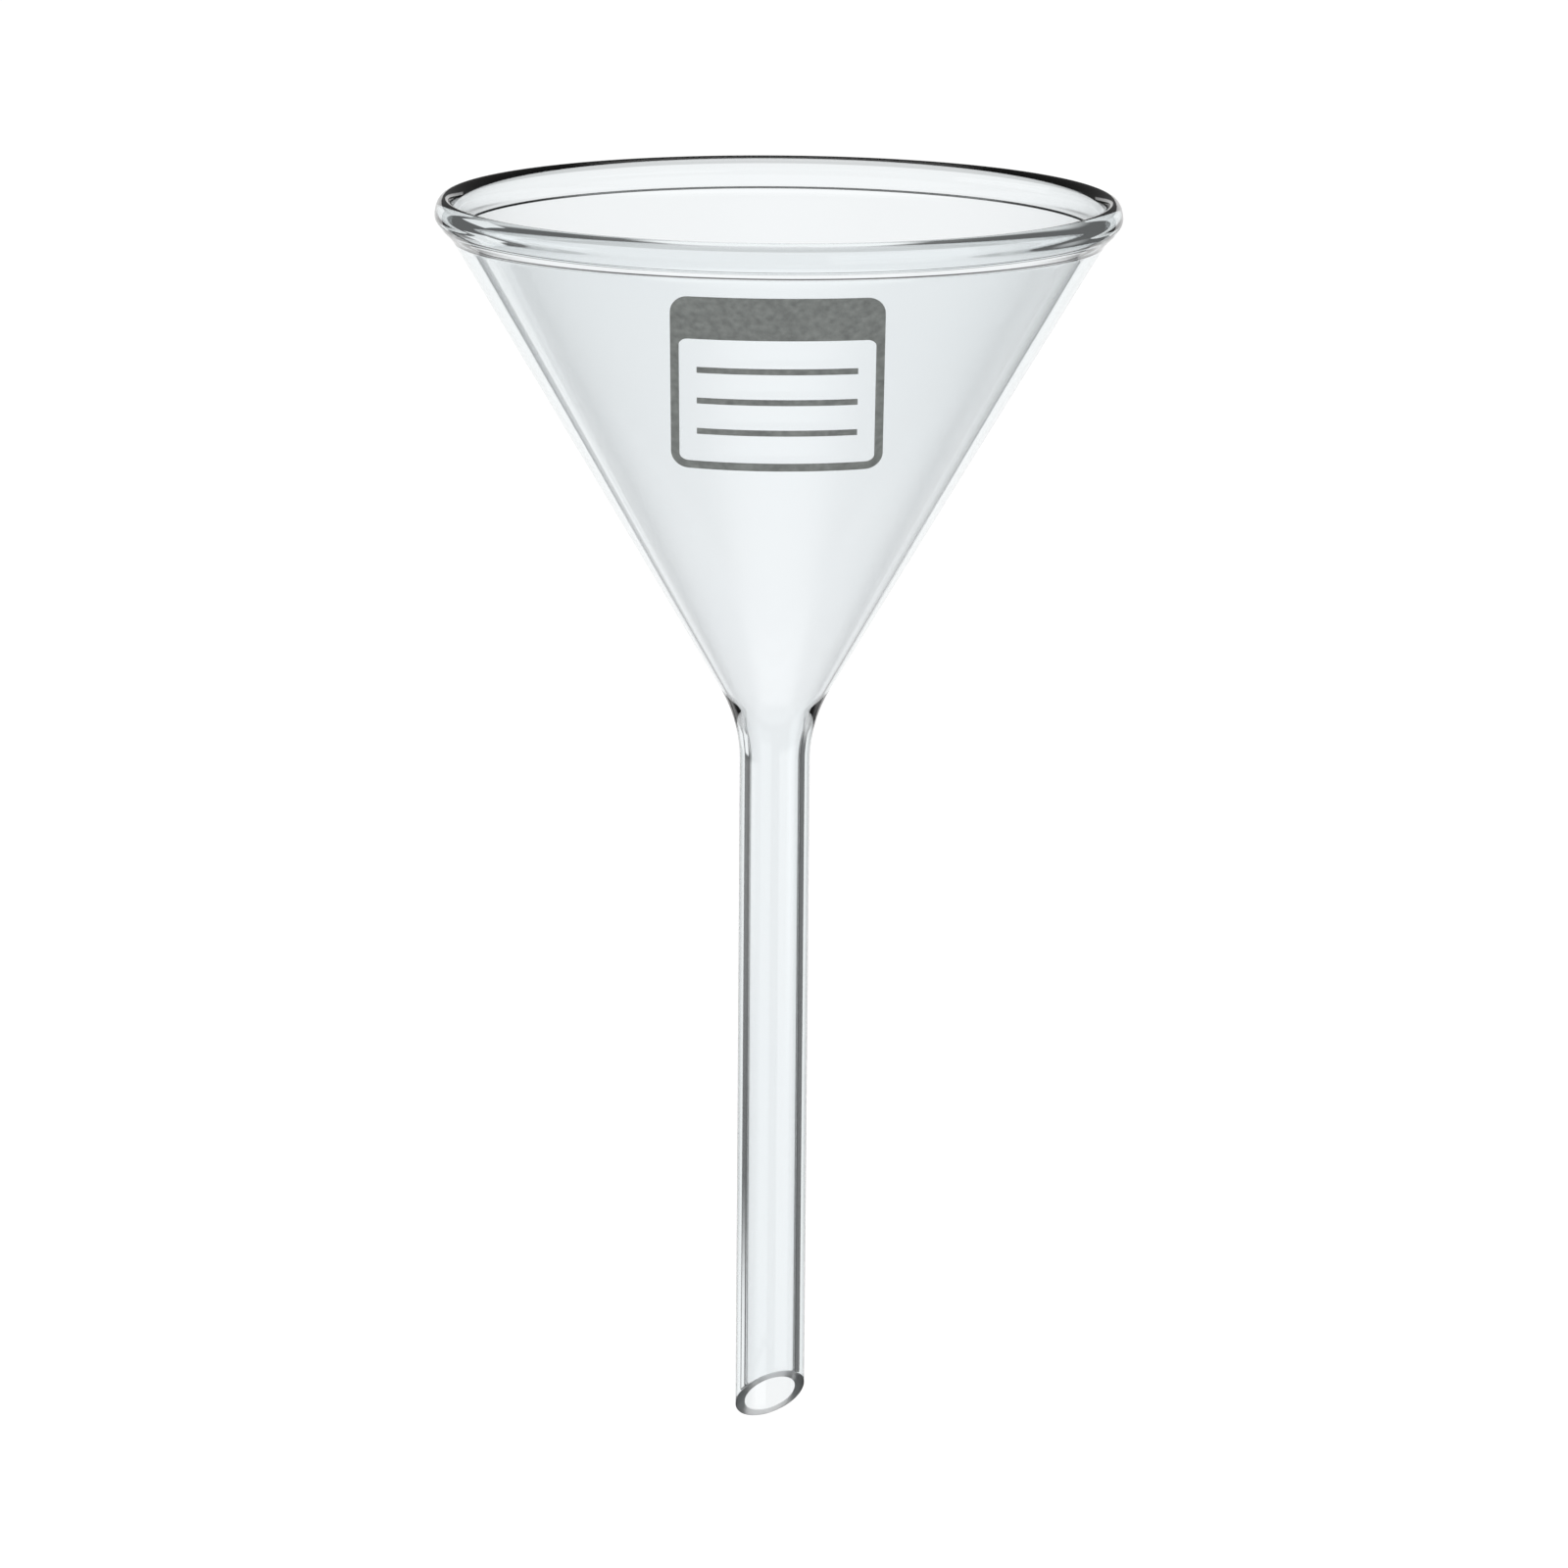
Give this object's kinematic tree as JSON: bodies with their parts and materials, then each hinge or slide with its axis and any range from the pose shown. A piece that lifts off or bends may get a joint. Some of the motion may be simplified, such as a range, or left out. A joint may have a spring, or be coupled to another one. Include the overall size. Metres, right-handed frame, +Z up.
{
  "type": "laboratory filter funnel",
  "caption": "Clear conical glass filter funnel with a beaded rim, flared neck and long narrow stem ground off at a slant; grey write-on field on the cone.",
  "frame": {"origin": "on the funnel's axis at the top of the straight stem, where the neck's flare begins", "axes": "+Z up along the axis towards the rim; the enamel print faces -Y; the stem's short side faces 70 degrees from +X towards -Y"},
  "size_m": [0.1, 0.1, 0.1875],
  "materials": {
    "clear_glass": "clear, fire-polished, faint green-blue in the thick rim",
    "grey_enamel": "fired grey enamel, satin"
  },
  "bodies": {
    "root": {"rim_bead": "clear_glass", "bowl": "clear_glass", "neck": "clear_glass", "stem": "clear_glass", "enamel_print": "grey_enamel"}
  },
  "joints": []
}
